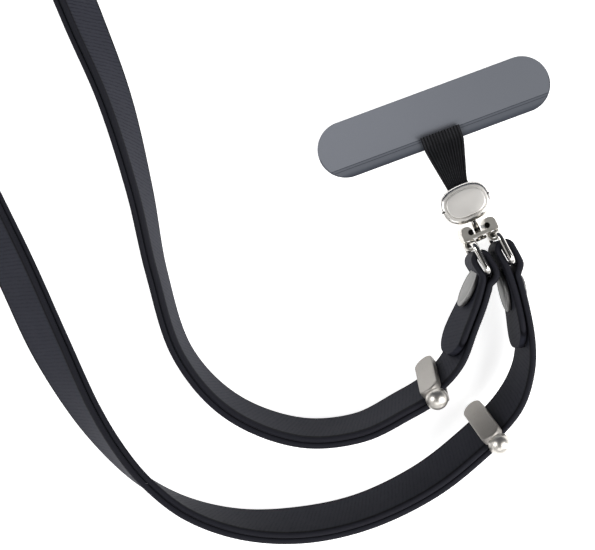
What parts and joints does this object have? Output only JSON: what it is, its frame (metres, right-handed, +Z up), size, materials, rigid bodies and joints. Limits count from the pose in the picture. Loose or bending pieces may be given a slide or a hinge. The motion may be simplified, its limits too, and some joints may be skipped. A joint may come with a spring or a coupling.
{
  "type": "phone crossbody strap",
  "caption": "Slim doubled leather crossbody strap on ball sliders, with wire rings, disc studs, a swivel with an oval clasp, and a flat tether tab for a phone case.",
  "frame": {"origin": "centre of the bounding box in plan, at the height of the surface that the strap lies on", "axes": "+Z up from the surface, +Y along the loop's length, from the swivel end towards the plain bend"},
  "size_m": [0.2, 0.2638, 0.0221],
  "materials": {
    "leather": "fine cross-grained black leather with painted edges",
    "ribbon": "black ribbed webbing",
    "tab": "blue-grey satin sheet with a darker pressed border",
    "satin_metal": "satin warm grey plating",
    "polished_metal": "polished plating"
  },
  "bodies": {
    "strap": {"swivel_plate": "satin_metal", "ring_a": "polished_metal", "ring_b": "polished_metal", "strap_band_a": "leather", "strap_band_b": "leather", "stud_a": "satin_metal", "stud_b": "satin_metal", "slider_a": "satin_metal", "slider_b": "satin_metal"},
    "tether": {"oval_clasp": "polished_metal", "swivel_pin": "polished_metal", "tether_ribbon": "ribbon", "tether_patch": "tab"}
  },
  "joints": [
    {"name": "swivel", "type": "hinge", "parent": "strap", "child": "tether", "pos_m": [0.08248, -0.05999, 0.0092], "axis": [-0.4067, 0.9135, 0], "continuous": true}
  ]
}
